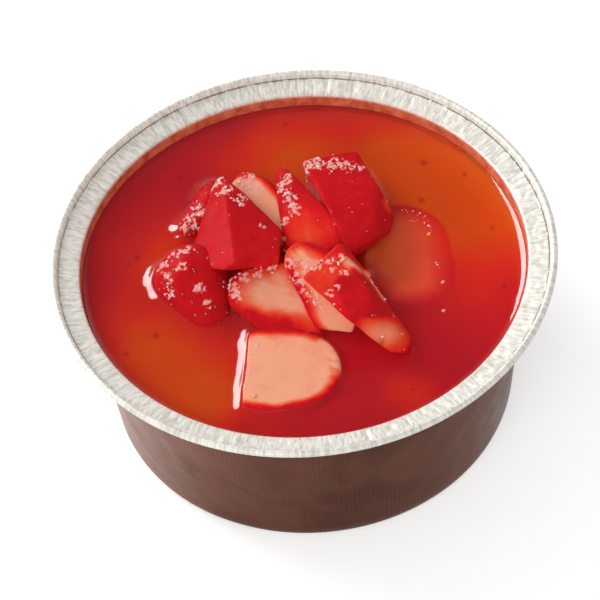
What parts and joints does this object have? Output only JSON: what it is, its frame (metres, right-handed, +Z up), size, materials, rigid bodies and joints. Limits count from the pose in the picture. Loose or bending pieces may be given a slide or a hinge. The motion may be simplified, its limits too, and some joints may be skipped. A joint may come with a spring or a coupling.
{
  "type": "dessert pot",
  "caption": "Round foil pot of strawberry jelly with cut strawberries heaped on top: slices and wedges set into a glossy orange-red jelly, in a pressed foil cup with a flange and rolled rim.",
  "frame": {"origin": "centre of the flat base of the cup, on the surface it stands on", "axes": "+Z up, which is the pot's shortest way; +X to the right and +Y away from the viewer, who sees the loose slice in front"},
  "size_m": [0.085, 0.085, 0.0396],
  "materials": {
    "foil": "bare pressed foil on the flange, brown lacquer on the wall",
    "jelly": "wet, clear orange-red jelly",
    "strawberry": "wet red skin",
    "strawberry_slice": "wet pale pink flesh"
  },
  "bodies": {
    "root": {"foil_cup": "foil", "jelly": "jelly", "wedge_left": "strawberry", "wedge_top_right": "strawberry", "wedge_mid": "strawberry", "wedge_top_mid": "strawberry", "wedge_left_back": "strawberry", "wedge_left_front": "strawberry", "slice_centre": "strawberry_slice", "slice_mid": "strawberry_slice", "slice_back": "strawberry_slice", "slice_right": "strawberry_slice", "slice_front": "strawberry_slice"}
  },
  "joints": []
}
